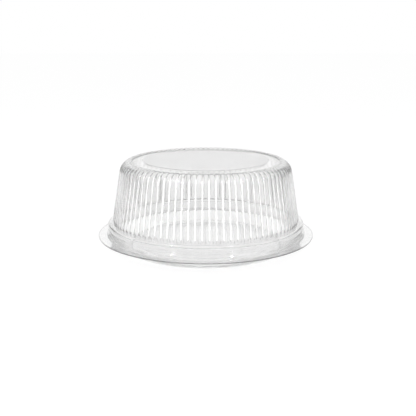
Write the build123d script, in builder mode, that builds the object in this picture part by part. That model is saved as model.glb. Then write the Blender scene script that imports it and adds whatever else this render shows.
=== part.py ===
"""Clear round cake keeper: a fluted dome lid that snaps over a shallow tray.

Both pieces are formed from thin clear sheet. Lengths are in millimetres and
angles in degrees. The origin is at the centre of the tray's foot, on the
table, with Z up.
"""

import os
from math import asin, cos, degrees, pi, radians, sin, tan

from build123d import *

# Sheet, and the gap that the lid and the tray keep from each other
sheet = 0.5
clearance = 0.3

# Heights of the whole, and of the underside of the lid's flange
total_height = 109.0
flange_height = 16.5

# Dome of the lid
flute_count = 88
flute_radius = 5.5
flute_crest_angle = 20.0
flute_overlap = 0.55
wall_foot_radius = 115.7
wall_taper = 8.85
shoulder_radius = 15.5
shoulder_facets = 3
annulus_width = 13.5
panel_step = 1.6
flute_end_setback = 1.4

# Skirt of the lid, from the foot of the dome's wall out to the flange
ledge_width = 5.8
ledge_bevel = 2.4
skirt_rise = 7.0
bead_depth = 1.1
groove_depth = 1.2
bead_height = 3.0
flange_width = 12.0

# Tray
tray_flange_inset = 0.5
rim_headroom = 3.5
rim_width = 3.2
rim_bevel = 1.0
rim_foot_drop = 1.2
foot_width = 5.9
floor_radius = 91.0
floor_height = 9.0
floor_step_run = 2.5

# Places on the skirt
skirt_radius = wall_foot_radius + ledge_width
flange_radius = skirt_radius + flange_width
bead_radius = skirt_radius + bead_depth
groove_radius = skirt_radius - groove_depth
flange_top = flange_height + sheet
groove_height = flange_top + 2 * bead_height
ledge_height = groove_height + bead_height + skirt_rise
ledge_joint = (wall_foot_radius + skirt_radius - ledge_bevel) / 2

# Places on the dome
annulus_height = total_height - panel_step
shoulder_height = total_height - shoulder_radius
taper = radians(wall_taper)
wall_rise = shoulder_height + shoulder_radius * sin(taper) - ledge_height
shoulder_centre = wall_foot_radius - wall_rise * tan(taper) - shoulder_radius * cos(taper)
flute_end = shoulder_centre + flute_end_setback
panel_foot_radius = flute_end - annulus_width
panel_radius = panel_foot_radius - panel_step
foot_half_pitch = wall_foot_radius * tan(pi / flute_count)
flute_edge_angle = degrees(asin((foot_half_pitch + flute_overlap) / flute_radius))
valley_edge = (flute_radius - sheet / 2) * cos(radians(flute_edge_angle))
valley_foot = wall_foot_radius - flute_radius + valley_edge + sheet * tan(taper)

# Places on the tray
tray_flange_top = flange_height - clearance
plug_radius = groove_radius - sheet - clearance
rim_inner = plug_radius - rim_width
rim_height = ledge_height - sheet - rim_headroom
foot_radius = floor_radius + floor_step_run + foot_width


def flute_bar(radius):
    """One flute as a solid bar of three flats, lofted up the wall and over the shoulder."""
    bend = shoulder_radius - flute_radius
    run_out = flute_radius
    wall_length = run_out + wall_rise / cos(taper)
    tangent_radius = shoulder_centre + bend * cos(taper)
    tangent_height = shoulder_height + bend * sin(taper)
    stations = [
        (
            tangent_radius + wall_length * sin(taper),
            tangent_height - wall_length * cos(taper),
            taper,
        )
    ]
    for facet in range(shoulder_facets + 1):
        tilt = taper + (pi / 2 - taper) * facet / shoulder_facets
        stations.append(
            (shoulder_centre + bend * cos(tilt), shoulder_height + bend * sin(tilt), tilt)
        )
    with BuildPart() as bar:
        for station_radius, station_height, tilt in stations:
            across = Plane(
                origin=(station_radius, 0, station_height),
                x_dir=(cos(tilt), 0, sin(tilt)),
                z_dir=(-sin(tilt), 0, cos(tilt)),
            )
            with BuildSketch(across):
                with BuildLine():
                    Polyline(
                        (0, 0),
                        *[
                            (radius * cos(radians(angle)), radius * sin(radians(angle)))
                            for angle in (
                                -flute_edge_angle,
                                -flute_crest_angle,
                                flute_crest_angle,
                                flute_edge_angle,
                            )
                        ],
                        close=True,
                    )
                make_face()
        loft(ruled=True)
    return bar.part


def end_block(toe, end_bottom):
    """A block over the panel side of a flute, with a face that slopes out at 45 degrees."""
    end_top = total_height + panel_step
    with BuildPart() as block:
        with BuildSketch(Plane.XZ):
            with BuildLine():
                Polyline(
                    (panel_radius, end_bottom),
                    (toe, end_bottom),
                    (toe + end_top - end_bottom, end_top),
                    (panel_radius, end_top),
                    close=True,
                )
            make_face()
        extrude(amount=flute_radius, both=True)
    return block.part


def turned(points, thickness):
    """A turned sheet that lies on the left of the line through these (radius, height) points."""
    with BuildPart() as formed:
        with BuildSketch(Plane.XZ):
            with BuildLine():
                Polyline(*points)
                offset(amount=thickness, side=Side.LEFT, kind=Kind.INTERSECTION)
            make_face()
        revolve(axis=Axis.Z)
    return formed.part


# The hollow inside a flute, which stops short of its sloped end wall
with BuildPart() as flute_hollow:
    add(flute_bar(flute_radius - sheet))
    add(
        end_block(flute_end - sheet + sheet * 2**0.5, annulus_height - sheet),
        mode=Mode.SUBTRACT,
    )

# One flute of the lid, with its share of the ledge at its foot
with BuildPart() as flute:
    add(flute_bar(flute_radius))
    with BuildSketch(Plane.XY.offset(ledge_height - sheet)):
        Circle(ledge_joint)
        Circle(valley_foot, mode=Mode.SUBTRACT)
    extrude(amount=sheet)
    add(end_block(flute_end - 2 * sheet, annulus_height - 2 * sheet), mode=Mode.SUBTRACT)
    add(flute_hollow.part, mode=Mode.SUBTRACT)
    half_pitch = flange_radius * tan(pi / flute_count)
    with BuildSketch(Plane.XY.offset(ledge_height - sheet)):
        with BuildLine():
            Polyline((0, 0), (flange_radius, -half_pitch), (flange_radius, half_pitch), close=True)
        make_face()
    extrude(amount=total_height, mode=Mode.INTERSECT)

# The lid: a ring of flutes, closed above by the panel and below by the skirt
with BuildPart() as lid:
    with PolarLocations(0, flute_count):
        add(flute.part)
    with BuildSketch(Plane.XZ):
        with BuildLine():
            under = sheet * tan(pi / 8)
            Polyline(
                (0, total_height),
                (panel_radius, total_height),
                (panel_foot_radius, annulus_height),
                (flute_end + under / 2, annulus_height),
                (flute_end + under / 2, annulus_height - sheet),
                (panel_foot_radius - under, annulus_height - sheet),
                (panel_radius - under, total_height - sheet),
                (0, total_height - sheet),
                close=True,
            )
        make_face()
    revolve(axis=Axis.Z)
    add(
        turned(
            [
                (flange_radius, flange_top),
                (bead_radius, flange_top),
                (bead_radius, flange_top + bead_height),
                (groove_radius, groove_height),
                (skirt_radius, groove_height + bead_height),
                (skirt_radius, ledge_height - ledge_bevel),
                (skirt_radius - ledge_bevel, ledge_height),
                (ledge_joint, ledge_height),
            ],
            sheet,
        )
    )
lid.part.label = "lid"

# The tray: flange, upstanding rim that plugs the skirt, sloping wall, foot and raised floor
with BuildPart() as base:
    add(
        turned(
            [
                (flange_radius - tray_flange_inset, tray_flange_top),
                (plug_radius, tray_flange_top),
                (plug_radius, rim_height - rim_bevel),
                (plug_radius - rim_width / 2, rim_height),
                (rim_inner, rim_height - rim_bevel),
                (rim_inner, tray_flange_top - rim_foot_drop),
                (foot_radius, sheet),
                (floor_radius + floor_step_run, sheet),
                (floor_radius, floor_height),
                (0, floor_height),
            ],
            sheet,
        )
    )
base.part.label = "base"

os.makedirs("parts", exist_ok=True)
for piece in (lid.part, base.part):
    export_step(piece, f"parts/{piece.label}.step")
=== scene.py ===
"""The looks of the clear cake keeper: its fluted dome lid and its tray, on a pale floor."""

from math import asin, atan2, cos, pi, radians, sin, sqrt, tan

import bmesh
import bpy
from mathutils import Matrix, Vector


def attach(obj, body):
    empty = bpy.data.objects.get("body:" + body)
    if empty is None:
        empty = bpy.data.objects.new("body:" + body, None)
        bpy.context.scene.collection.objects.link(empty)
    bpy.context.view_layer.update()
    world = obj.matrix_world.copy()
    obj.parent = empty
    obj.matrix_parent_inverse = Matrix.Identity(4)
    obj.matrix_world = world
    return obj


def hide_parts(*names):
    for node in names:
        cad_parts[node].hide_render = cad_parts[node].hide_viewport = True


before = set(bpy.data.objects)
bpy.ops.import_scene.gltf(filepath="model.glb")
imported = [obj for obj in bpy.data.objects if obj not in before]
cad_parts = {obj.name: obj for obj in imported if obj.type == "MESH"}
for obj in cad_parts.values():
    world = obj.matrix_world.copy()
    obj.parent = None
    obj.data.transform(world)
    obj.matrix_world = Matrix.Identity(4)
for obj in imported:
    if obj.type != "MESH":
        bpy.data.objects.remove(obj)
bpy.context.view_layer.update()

# One millimetre in the scene's metres. Lengths are in millimetres where no comment says metres
MM = 0.001

# Sheet, the gap that merges two vertices, and the fold that shows as a sharp edge
SHEET = 0.5
MERGE_GAP = 0.01
SHARP_FOLD = radians(35)

# Panel on top, and the smooth band round it
TOTAL_HEIGHT = 109.0
PANEL_STEP = 1.6
PANEL_ROW = 40
PANEL_RADIUS = 76.9
BAND_RADIUS = 78.5
BAND_HEIGHT = TOTAL_HEIGHT - PANEL_STEP
BAND_END = 84.0

# Wall and shoulder of the dome
LEDGE_HEIGHT = 33.0
WALL_FOOT = 115.7
WALL_TAPER = radians(8.85)
WALL_ROWS = (75, 55)
SHOULDER_RADIUS = 15.5
SHOULDER_CENTRE = 90.59
SHOULDER_HEIGHT = TOTAL_HEIGHT - SHOULDER_RADIUS
SHOULDER_CUTS = 8

# Flutes: their depth as a share of half their width, and how full they stay before the valley
FLUTES = 88
FLUTE_DEPTH = 0.48
FLUTE_FULLNESS = 5
FLUTE_CUTS = 10
HALF_FLUTE = pi / FLUTES

# Where a flute's rounded ends begin, and how far they run past that
TOP_END = 93.4
TOP_REACH = TOP_END * tan(HALF_FLUTE)
FOOT_END = 37.9
FOOT_REACH = WALL_FOOT * tan(HALF_FLUTE)
END_CUTS = 5

# Parts of the lid's outline: plain sheet, and a flute's top end, length and foot end
PLAIN, AT_TOP, ALONG, AT_FOOT = range(4)

# Skirt of the lid
SKIRT_RADIUS = 121.5
GROOVE_RADIUS = 120.3
BEAD_RADIUS = 122.6
FLANGE_RADIUS = 133.5
FLANGE_TOP = 17.0
BEAD_TOP = 19.8
GROOVE_FOOT = 22.4
GROOVE_TOP = 23.2
SKIRT_FOOT = 26.0

# Tray
FLOOR_ROW = 45
FLOOR_RADIUS = 91.0
FLOOR_HEIGHT = 9.0
FOOT_INSIDE = 93.5
FOOT_OUTSIDE = 99.4
FOOT_TOP = SHEET
RIM_INSIDE = 116.3
RIM_OUTSIDE = 119.5
RIM_FOOT = 15.0
RIM_TOP = 29.0
TRAY_FLANGE_TOP = 16.2
TRAY_FLANGE_RADIUS = 133.0
TRAY_CORNER_CUTS = 4
TRAY_TURN_STEPS = 264

# Zones of the sheet's finish, in metres: where each begins and ends by height
PANEL_ZONE = (0.1078, 0.1084)
SHOULDER_ZONE = (0.1, 0.106)
SKIRT_ZONE = (0.031, 0.036)
BEAD_ZONE = (0.0195, 0.0215)

# Zones by distance from the axis, in metres
FLANGE_ZONE = (0.1225, 0.124)
FLANGE_EDGE_SHADE_ZONE = (0.1322, 0.1328)
RAISED_FLOOR_ZONE = (0.0905, 0.0915)

# Painted shade, greys: how fast the sheet darkens edge on, the skirt's share of that, and the
# flange and its edge, darkened where the sheet lies nearly edge on
EDGE_SHADE_POWER = 5
SKIRT_SHADE_SHARE = 0.25
FLANGE_SHADE = 0.07
FLANGE_EDGE_SHADE = 0.35

# Painted highlights in the creases between flutes: where they begin and end across a flute, how
# white and how matt they are
CREASE_ZONE = (0.82, 0.94)
CREASE_HIGHLIGHT_SHARE = 0.72
CREASE_HIGHLIGHT_MATTNESS = 0.7

# Cloudy change of the sheet's roughness
CLOUDINESS = 0.05

# Floor: half its width in metres, and how white it is
FLOOR_SIZE = 6
FLOOR_WHITENESS = 0.975

# Shadow drawn under the foot: its shade by radius, its strength, and where it ends, in metres back
CONTACT_RING = ((0, 0.0), (86, 0.0), (89, 1.0), (95, 1.0), (98, 0.0))
CONTACT_SHADE = 0.9
CONTACT_ZONE = (-0.09, -0.03)

# World: brightness by height over the horizon, and by degrees round from the camera's side
SCREEN_TOP = (0.45, 0.65)
SKY_TONES = ((0.0, 0.3), (0.3, 0.35), (0.6, 0.7), (1.0, 1.0))
SCREENS = (
    (-180, 1.1),
    (-155, 1.1),
    (-148, 0.05),
    (-112, 0.05),
    (-106, 0.8),
    (-84, 0.8),
    (-76, 0.05),
    (20, 0.1),
    (60, 0.3),
    (66, 0.9),
    (78, 0.9),
    (84, 0.1),
    (148, 0.1),
    (155, 1.1),
    (180, 1.1),
)

# Lamps: name, place in metres and power in watts
LAMPS = (("key", (-0.9, -0.9, 1.3), 60), ("fill", (0.7, -1.1, 1.2), 45))
LAMP_SIZE = 0.1
LAMP_TARGET = (0, 0, 0.05)

# Camera: place in metres, dip under the horizon, lens and shift
CAMERA_PLACE = (0, -0.950, 0.2746)
CAMERA_DIP = 12.93
CAMERA_LENS = 67.74
CAMERA_SENSOR = 36
CAMERA_SHIFT = (0.0053, -0.0174)


class Outline:
    """A line of vertices in the XZ plane, drawn outwards from the axis."""

    def __init__(self):
        self.bm = bmesh.new()
        self.part = self.bm.verts.layers.float.new("part_of_flute")
        self.share = self.bm.verts.layers.float.new("share_of_end")
        self.groove = self.bm.verts.layers.float.new("groove")
        self.last = None
        self.corners = []

    def to(self, radius, height, setback=0.0, cuts=0, part=PLAIN, share=0.0):
        """Runs the line on to one more corner, to be rounded if it has a setback."""
        vert = self.bm.verts.new((radius * MM, 0, height * MM))
        vert[self.part] = part
        vert[self.share] = share
        if self.last is not None:
            self.bm.edges.new((self.last, vert))
        if setback:
            self.corners.append((vert, setback, cuts))
        self.last = vert

    def round_corners(self):
        """Rounds the corners drawn so far, from their setback before them to as far past them."""
        for vert, setback, cuts in self.corners:
            bmesh.ops.bevel(
                self.bm,
                geom=[vert],
                affect="VERTICES",
                offset=setback * MM,
                offset_type="OFFSET",
                segments=cuts,
                profile=0.5,
                material=-1,
            )
        self.corners = []


def spin(bm, turn, steps, copies=False):
    """Turns everything in the mesh about the Z axis."""
    bmesh.ops.spin(
        bm,
        geom=bm.verts[:] + bm.edges[:] + bm.faces[:],
        cent=(0, 0, 0),
        axis=(0, 0, 1),
        angle=turn,
        steps=steps,
        use_merge=False,
        use_duplicate=copies,
    )


def merge_doubles(bm):
    """Merges the vertices that share a place."""
    bmesh.ops.remove_doubles(bm, verts=bm.verts[:], dist=MERGE_GAP * MM)


def thicken(bm):
    """Closes the turned surface, faces its middle upwards and gives it the sheet's thickness."""
    merge_doubles(bm)
    bmesh.ops.recalc_face_normals(bm, faces=bm.faces[:])
    middle = min(bm.faces, key=lambda face: face.calc_center_median().xy.length)
    if middle.normal.z < 0:
        bmesh.ops.reverse_faces(bm, faces=bm.faces[:])
    bmesh.ops.solidify(bm, geom=bm.faces[:], thickness=SHEET * MM)
    for face in bm.faces:
        face.smooth = True
    for edge in bm.edges:
        edge.smooth = edge.calc_face_angle(0) < SHARP_FOLD


def sheet_piece(bm, name, body, node, finish):
    """Makes the mesh a piece of thin sheet that stands for a CAD node."""
    mesh = bpy.data.meshes.new(name)
    bm.to_mesh(mesh)
    bm.free()
    piece = bpy.data.objects.new(name, mesh)
    bpy.context.scene.collection.objects.link(piece)
    mesh.materials.append(finish)
    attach(piece, body)
    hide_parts(node)


def crest_height(radius):
    """The height of a flute's crest over the shoulder."""
    off = max(0, radius - SHOULDER_CENTRE)
    return SHOULDER_HEIGHT + sqrt(SHOULDER_RADIUS**2 - off**2)


def crest_radius(height):
    """The radius of a flute's crest on the wall."""
    return WALL_FOOT - (height - LEDGE_HEIGHT) * tan(WALL_TAPER)


def flute_drop(across, past, reach):
    """How far a flute's surface lies below its crest, off its middle and past its end."""
    off = min(1, sqrt(across**2 + past**2) / reach)
    return FLUTE_DEPTH * reach * off**FLUTE_FULLNESS


def top_end_point(share, across):
    """A point of a flute's rounded top end, as its radius and height."""
    past = share * sqrt(max(0, TOP_REACH**2 - across**2))
    radius = TOP_END - past
    if share == 1:
        return radius, BAND_HEIGHT
    return radius, crest_height(radius) - flute_drop(across, past, TOP_REACH)


def length_point(radius, height, across):
    """A point of a flute on the shoulder or the wall, as its radius and height."""
    drop = flute_drop(across, 0, radius * tan(HALF_FLUTE))
    rise = min(1, max(0, (height - SHOULDER_HEIGHT) / SHOULDER_RADIUS))
    tilt = max(asin(rise), WALL_TAPER)
    return radius - drop * cos(tilt), height - drop * sin(tilt)


def foot_end_point(share, across):
    """A point of a flute's rounded foot end, as its radius and height."""
    past = share * sqrt(max(0, FOOT_REACH**2 - across**2))
    height = FOOT_END - past * cos(WALL_TAPER)
    drop = flute_drop(across, past, FOOT_REACH)
    return crest_radius(height) - drop * cos(WALL_TAPER), height - drop * sin(WALL_TAPER)


def shape_flute(outline):
    """Moves the vertices of a plain slice to the flute's surface, and marks its grooves."""
    for vert in outline.bm.verts:
        part = round(vert[outline.part])
        if part == PLAIN:
            continue
        radius = vert.co.xy.length / MM
        height = vert.co.z / MM
        place = atan2(vert.co.y, vert.co.x)
        turn = HALF_FLUTE * sin(place / HALF_FLUTE * pi / 2)
        across = radius * sin(turn)
        if part == AT_TOP:
            radius, height = top_end_point(vert[outline.share], across)
        elif part == ALONG:
            radius, height = length_point(radius, height, across)
        else:
            radius, height = foot_end_point(vert[outline.share], across)
        vert.co = Vector((radius * cos(turn), radius * sin(turn), height)) * MM
        vert[outline.groove] = abs(sin(place * FLUTES / 2))


def draw_panel(outline):
    """Draws the raised panel and the start of the smooth band."""
    outline.to(0, TOTAL_HEIGHT)
    outline.to(PANEL_ROW, TOTAL_HEIGHT)
    outline.to(PANEL_RADIUS, TOTAL_HEIGHT, 0.5, 2)
    outline.to(BAND_RADIUS, BAND_HEIGHT, 0.6, 2)
    outline.to(BAND_END, BAND_HEIGHT)
    outline.round_corners()


def draw_flute(outline):
    """Draws a flute's crest: its top end, the shoulder, the wall and its foot end."""
    for step in range(END_CUTS):
        share = 1 - step / END_CUTS
        outline.to(TOP_END - TOP_REACH * share, BAND_HEIGHT, part=AT_TOP, share=share)
    first = asin((TOP_END - SHOULDER_CENTRE) / SHOULDER_RADIUS)
    for step in range(SHOULDER_CUTS + 1):
        tilt = pi / 2 - first + (WALL_TAPER - pi / 2 + first) * step / SHOULDER_CUTS
        outline.to(
            SHOULDER_CENTRE + SHOULDER_RADIUS * cos(tilt),
            SHOULDER_HEIGHT + SHOULDER_RADIUS * sin(tilt),
            part=ALONG,
        )
    for height in WALL_ROWS:
        outline.to(crest_radius(height), height, part=ALONG)
    for step in range(END_CUTS + 1):
        outline.to(WALL_FOOT, FOOT_END, part=AT_FOOT, share=step / END_CUTS)


def draw_skirt(outline):
    """Draws the ledge, the skirt with its snap groove and bead, and the flange."""
    outline.to(WALL_FOOT - flute_drop(FOOT_REACH, 0, FOOT_REACH), LEDGE_HEIGHT, 0.3, 2)
    outline.to(SKIRT_RADIUS, LEDGE_HEIGHT, 3.0, 4)
    outline.to(SKIRT_RADIUS, SKIRT_FOOT, 1.2, 3)
    outline.to(GROOVE_RADIUS, GROOVE_TOP, 0.4, 2)
    outline.to(GROOVE_RADIUS, GROOVE_FOOT, 0.4, 2)
    outline.to(BEAD_RADIUS, BEAD_TOP, 0.9, 3)
    outline.to(BEAD_RADIUS, FLANGE_TOP, 0.5, 2)
    outline.to(FLANGE_RADIUS, FLANGE_TOP)
    outline.round_corners()


def lid_mesh():
    """The lid: one flute's slice, shaped and then repeated round the axis."""
    outline = Outline()
    draw_panel(outline)
    draw_flute(outline)
    draw_skirt(outline)
    bm = outline.bm
    start = Matrix.Rotation(-HALF_FLUTE, 3, "Z")
    bmesh.ops.rotate(bm, verts=bm.verts[:], cent=(0, 0, 0), matrix=start)
    spin(bm, 2 * HALF_FLUTE, FLUTE_CUTS)
    merge_doubles(bm)
    shape_flute(outline)
    spin(bm, 2 * pi, FLUTES, copies=True)
    thicken(bm)
    return bm


def tray_mesh():
    """The tray: raised floor, foot, sloping wall, upstanding rim and flange."""
    outline = Outline()
    for radius, height, setback in (
        (0, FLOOR_HEIGHT, 0),
        (FLOOR_ROW, FLOOR_HEIGHT, 0),
        (FLOOR_RADIUS, FLOOR_HEIGHT, 0.8),
        (FOOT_INSIDE, FOOT_TOP, 0.8),
        (FOOT_OUTSIDE, FOOT_TOP, 1.6),
        (RIM_INSIDE, RIM_FOOT, 4.0),
        (RIM_INSIDE, RIM_TOP, 1.3),
        (RIM_OUTSIDE, RIM_TOP, 1.3),
        (RIM_OUTSIDE, TRAY_FLANGE_TOP, 0.6),
        (TRAY_FLANGE_RADIUS, TRAY_FLANGE_TOP, 0),
    ):
        outline.to(radius, height, setback, TRAY_CORNER_CUTS)
    outline.round_corners()
    spin(outline.bm, 2 * pi, TRAY_TURN_STEPS)
    thicken(outline.bm)
    return outline.bm


class Value:
    """A socket that adds Math nodes when it is used in an expression."""

    def __init__(self, finish, socket):
        self.finish = finish
        self.socket = socket

    def maths(self, operation, first, second):
        """Adds one Math node."""
        return self.finish.node("ShaderNodeMath", {"operation": operation}, {0: first, 1: second})

    def __add__(self, other):
        return self.maths("ADD", self, other)

    def __radd__(self, other):
        return self.maths("ADD", other, self)

    def __sub__(self, other):
        return self.maths("SUBTRACT", self, other)

    def __rsub__(self, other):
        return self.maths("SUBTRACT", other, self)

    def __mul__(self, other):
        return self.maths("MULTIPLY", self, other)

    def __rmul__(self, other):
        return self.maths("MULTIPLY", other, self)

    def __pow__(self, other):
        return self.maths("POWER", self, other)


class Finish:
    """The nodes of one material or of the world."""

    def __init__(self, owner):
        owner.use_nodes = True
        self.tree = owner.node_tree
        self.tree.nodes.clear()

    def node(self, kind, settings=None, sockets=None, output=0):
        """Adds a node: its settings first, then its sockets. Returns one of its outputs."""
        made = self.tree.nodes.new(kind)
        for name, value in (settings or {}).items():
            if name == "stops":
                set_stops(made.color_ramp.elements, value)
            else:
                setattr(made, name, value)
        for name, value in (sockets or {}).items():
            if isinstance(value, Value):
                self.tree.links.new(value.socket, made.inputs[name])
            else:
                made.inputs[name].default_value = value
        return Value(self, made.outputs[output]) if len(made.outputs) else None


def set_stops(stops, places):
    """Gives a colour ramp its stops, each a place and a grey."""
    while len(stops) < len(places):
        stops.new(0.5)
    for stop, (place, grey) in zip(stops, places):
        stop.position = place
        stop.color = (grey, grey, grey, 1)


def fade(value, zone, low=0.0, high=1.0, smooth=True):
    """A value that goes from low to high while the given one crosses the zone."""
    start, end = zone
    return value.finish.node(
        "ShaderNodeMapRange",
        {"interpolation_type": "SMOOTHSTEP" if smooth else "LINEAR"},
        {"Value": value, "From Min": start, "From Max": end, "To Min": low, "To Max": high},
    )


def clear_sheet(name, tint, edge_shade_tint, ior, panel_haze=0.0, bead_share=0.0, floor_share=0.0):
    """Clear formed sheet: painted shade where it is seen edge on and on the flange, and painted
    highlights in white, partly matt creases between flutes.
    """
    material = bpy.data.materials.new(name)
    finish = Finish(material)
    place = finish.node("ShaderNodeTexCoord", output="Object")
    height = finish.node("ShaderNodeSeparateXYZ", {}, {0: place}, output="Z")
    level = finish.node("ShaderNodeVectorMath", {"operation": "MULTIPLY"}, {0: place, 1: (1, 1, 0)})
    reach = finish.node("ShaderNodeVectorMath", {"operation": "LENGTH"}, {0: level}, output="Value")
    facing = finish.node("ShaderNodeLayerWeight", {}, {"Blend": 0.5}, output="Facing")

    # How far each zone's treatment applies
    panel = fade(height, PANEL_ZONE, 0.0, panel_haze, smooth=False)
    below_shoulder = fade(height, SHOULDER_ZONE, 1.0, 0.0)
    above_skirt = fade(height, SKIRT_ZONE, SKIRT_SHADE_SHARE, 1.0)
    bead = fade(height, BEAD_ZONE, bead_share, 0.0, smooth=False)
    flange = fade(reach, FLANGE_ZONE)
    # Painted shade: a darker ring at the flange's outer edge
    flange_edge_shade = fade(reach, FLANGE_EDGE_SHADE_ZONE, 0.0, FLANGE_EDGE_SHADE, smooth=False)
    raised_floor = fade(reach, RAISED_FLOOR_ZONE, floor_share, 0.0, smooth=False)

    # Clear plastic, darker where it is seen edge on: partly the longer path through the sheet,
    # mostly painted shade, with painted shade on the flange and its edge too
    edge = facing**EDGE_SHADE_POWER * below_shoulder * above_skirt + flange * FLANGE_SHADE + flange_edge_shade
    colour = finish.node(
        "ShaderNodeMix",
        {"data_type": "RGBA"},
        {0: edge, 6: (*tint, 1), 7: (*edge_shade_tint, 1)},
        output=2,
    )
    cloud = finish.node("ShaderNodeTexNoise", {}, {"Vector": place, "Scale": 40, "Detail": 3})
    ripple = finish.node("ShaderNodeTexNoise", {}, {"Vector": place, "Scale": 140, "Detail": 2})
    bump = finish.node(
        "ShaderNodeBump", {}, {"Strength": 0.06, "Distance": 0.4 * MM, "Height": ripple}
    )
    clear = finish.node(
        "ShaderNodeBsdfPrincipled",
        {},
        {
            "Base Color": colour,
            "Roughness": panel + cloud * CLOUDINESS,
            "IOR": ior,
            "Transmission Weight": 1.0,
            "Normal": bump,
        },
    )

    # Painted highlights: the creases between flutes turn white and partly matt, lit by the lamps,
    # in place of highlights along the valleys
    groove = finish.node("ShaderNodeAttribute", {"attribute_name": "groove"}, output="Fac")
    crease_highlight = fade(groove, CREASE_ZONE, 0.0, CREASE_HIGHLIGHT_SHARE) * below_shoulder
    highlight_translucent = finish.node("ShaderNodeBsdfTranslucent", {}, {"Color": (0.95, 0.95, 0.95, 1)})
    matt = finish.node("ShaderNodeBsdfDiffuse", {}, {"Color": (0.95, 0.95, 0.95, 1)})
    painted_highlight = finish.node("ShaderNodeMixShader", {}, {0: CREASE_HIGHLIGHT_MATTNESS, 1: highlight_translucent, 2: matt})
    highlighted = finish.node("ShaderNodeMixShader", {}, {0: crease_highlight, 1: clear, 2: painted_highlight})

    # A share of the bead and of the raised floor that bends no light
    open_air = finish.node("ShaderNodeBsdfTransparent", {}, {"Color": (1, 1, 1, 1)})
    open_share = raised_floor + bead * (1 - flange)
    sheet = finish.node("ShaderNodeMixShader", {}, {0: open_share, 1: highlighted, 2: open_air})
    finish.node("ShaderNodeOutputMaterial", {}, {"Surface": sheet})
    return material


def pale_floor():
    """A floor that is white to the camera and in the sheet, with a shadow drawn under the foot."""
    mesh = bpy.data.meshes.new("floor")
    bm = bmesh.new()
    bmesh.ops.create_grid(bm, x_segments=1, y_segments=1, size=FLOOR_SIZE)
    bm.to_mesh(mesh)
    bm.free()
    floor = bpy.data.objects.new("floor", mesh)
    bpy.context.scene.collection.objects.link(floor)
    material = bpy.data.materials.new("pale_floor")
    mesh.materials.append(material)
    finish = Finish(material)
    seen = finish.node("ShaderNodeLightPath", output="Is Camera Ray")
    mirrored = finish.node("ShaderNodeLightPath", output="Is Glossy Ray")
    spot = finish.node("ShaderNodeTexCoord", output="Object")
    off = finish.node("ShaderNodeVectorMath", {"operation": "LENGTH"}, {0: spot}, output="Value")
    stops = [(radius * MM, shade) for radius, shade in CONTACT_RING]
    ring = finish.node("ShaderNodeValToRGB", {"stops": stops}, {0: off})
    depth = finish.node("ShaderNodeSeparateXYZ", {}, {0: spot}, output="Y")
    front = fade(depth, CONTACT_ZONE, CONTACT_SHADE, 0.0)
    matt = finish.node("ShaderNodeBsdfDiffuse", {}, {"Color": (0.9, 0.9, 0.9, 1)})
    white = finish.node("ShaderNodeEmission", {}, {"Color": (1, 1, 1, 1), "Strength": 1.0})
    whiteness = (seen + mirrored) * (FLOOR_WHITENESS - ring * front)
    surface = finish.node("ShaderNodeMixShader", {}, {0: whiteness, 1: matt, 2: white})
    finish.node("ShaderNodeOutputMaterial", {}, {"Surface": surface})


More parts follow.
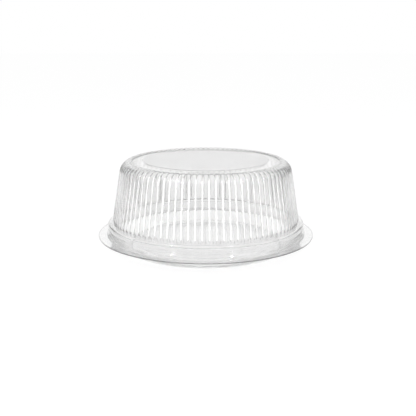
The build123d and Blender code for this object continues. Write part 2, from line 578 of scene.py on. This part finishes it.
def studio():
    """A world that is white to the camera, with soft sky above and screens round the horizon."""
    world = bpy.data.worlds.new("studio")
    bpy.context.scene.world = world
    finish = Finish(world)
    direction = finish.node("ShaderNodeTexCoord", output="Generated")
    height = finish.node("ShaderNodeSeparateXYZ", {}, {0: direction}, output="Z")
    across = finish.node("ShaderNodeSeparateXYZ", {}, {0: direction}, output="X")
    ahead = finish.node("ShaderNodeSeparateXYZ", {}, {0: direction}, output="Y")
    seen = finish.node("ShaderNodeLightPath", output="Is Camera Ray")
    tone = finish.node("ShaderNodeValToRGB", {"stops": SKY_TONES}, {0: height})
    turn = finish.node("ShaderNodeMath", {"operation": "ARCTAN2"}, {0: across, 1: -1.0 * ahead})
    stops = [((degrees + 180) / 360, shade) for degrees, shade in SCREENS]
    screen = finish.node("ShaderNodeValToRGB", {"stops": stops}, {0: turn * (0.5 / pi) + 0.5})
    low = fade(height, SCREEN_TOP, 1.0, 0.0)
    sky = finish.node("ShaderNodeBackground", {}, {"Color": tone, "Strength": 1.0})
    screens = finish.node("ShaderNodeBackground", {}, {"Color": screen, "Strength": 1.0})
    light = finish.node("ShaderNodeMixShader", {}, {0: low, 1: sky, 2: screens})
    white = finish.node("ShaderNodeBackground", {}, {"Color": (1, 1, 1, 1), "Strength": 1.0})
    surface = finish.node("ShaderNodeMixShader", {}, {0: seen, 1: light, 2: white})
    finish.node("ShaderNodeOutputWorld", {}, {"Surface": surface})


def add_lamp(name, place, power):
    """A small square lamp that lights the keeper from one side."""
    lamp_data = bpy.data.lights.new(name, "AREA")
    lamp_data.energy = power
    lamp_data.size = LAMP_SIZE
    lamp = bpy.data.objects.new(name, lamp_data)
    lamp.location = place
    aim = Vector(LAMP_TARGET) - Vector(place)
    lamp.rotation_euler = aim.to_track_quat("-Z", "Y").to_euler()
    bpy.context.scene.collection.objects.link(lamp)


def add_camera():
    """The camera, a little above the keeper and in front of it."""
    camera_data = bpy.data.cameras.new("camera")
    camera_data.lens = CAMERA_LENS
    camera_data.sensor_width = CAMERA_SENSOR
    camera_data.shift_x, camera_data.shift_y = CAMERA_SHIFT
    camera = bpy.data.objects.new("camera", camera_data)
    camera.location = CAMERA_PLACE
    camera.rotation_euler = (radians(90 - CAMERA_DIP), 0, 0)
    bpy.context.scene.collection.objects.link(camera)
    bpy.context.scene.camera = camera


lid_finish = clear_sheet(
    "clear_lid_sheet",
    tint=(0.95, 0.95, 0.95),
    edge_shade_tint=(0.4, 0.4, 0.41),
    ior=1.57,
    panel_haze=0.1,
    bead_share=0.3,
)
tray_finish = clear_sheet(
    "clear_tray_sheet",
    tint=(0.99, 0.99, 0.99),
    edge_shade_tint=(0.7, 0.7, 0.71),
    ior=1.33,
    floor_share=0.3,
)
sheet_piece(lid_mesh(), "dome_lid", "cover", "lid", lid_finish)
sheet_piece(tray_mesh(), "tray", "tray", "base", tray_finish)
pale_floor()
studio()
for name, place, power in LAMPS:
    add_lamp(name, place, power)
add_camera()
bpy.context.scene.view_settings.view_transform = "Standard"
